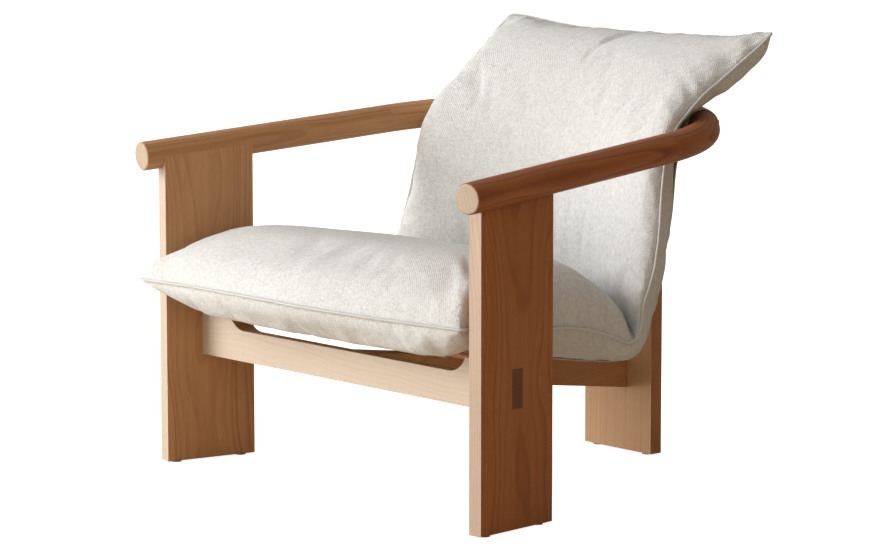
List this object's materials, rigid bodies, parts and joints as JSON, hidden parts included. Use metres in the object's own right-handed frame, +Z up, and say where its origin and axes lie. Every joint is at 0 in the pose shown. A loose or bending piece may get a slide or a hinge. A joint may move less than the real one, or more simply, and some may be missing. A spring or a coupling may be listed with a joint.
{
  "type": "wooden lounge armchair",
  "caption": "Low lounge armchair: three broad upright boards carry a round wrap-around arm and back rail, with one deep folded loose cushion in a sling.",
  "frame": {"origin": "on the floor, under the middle of the whole chair", "axes": "+Z up, -Y towards the front of the chair, +X towards the sitter's left arm"},
  "size_m": [0.9116, 0.8394, 0.7594],
  "materials": {
    "boards": "clear matt lacquer on light oak or teak",
    "round_rail": "clear matt lacquer, turned",
    "dowels": "raw beech",
    "glides": "moulded nylon",
    "canvas": "heavy cotton canvas",
    "steel": "zinc plated",
    "cushion": "coarse woven off-white upholstery cloth",
    "zip": "zip tape and teeth"
  },
  "bodies": {
    "frame": {"left_front_board": "boards", "right_front_board": "boards", "rear_board": "boards", "front_rail": "boards", "centre_stretcher": "boards", "left_arm": "round_rail", "right_arm": "round_rail", "left_bend": "round_rail", "right_bend": "round_rail", "back_rail": "round_rail", "left_board_dowels": "dowels", "right_board_dowels": "dowels", "rear_board_dowels": "dowels", "arm_joint_dowels": "dowels", "back_joint_dowels": "dowels", "floor_glides": "glides", "sling_panel": "canvas", "sling_front_sleeve": "canvas", "sling_back_sleeve": "canvas", "sling_rod": "dowels", "sling_screws": "steel", "sling_washers": "steel"},
    "cushion": {"seat_cushion": "cushion", "back_cushion": "cushion", "cushion_zip": "zip"}
  },
  "joints": [
    {"name": "cushion_lift", "type": "slide", "parent": "frame", "child": "cushion", "axis": [0, 0, 1], "range_m": [0, 0.15]}
  ]
}
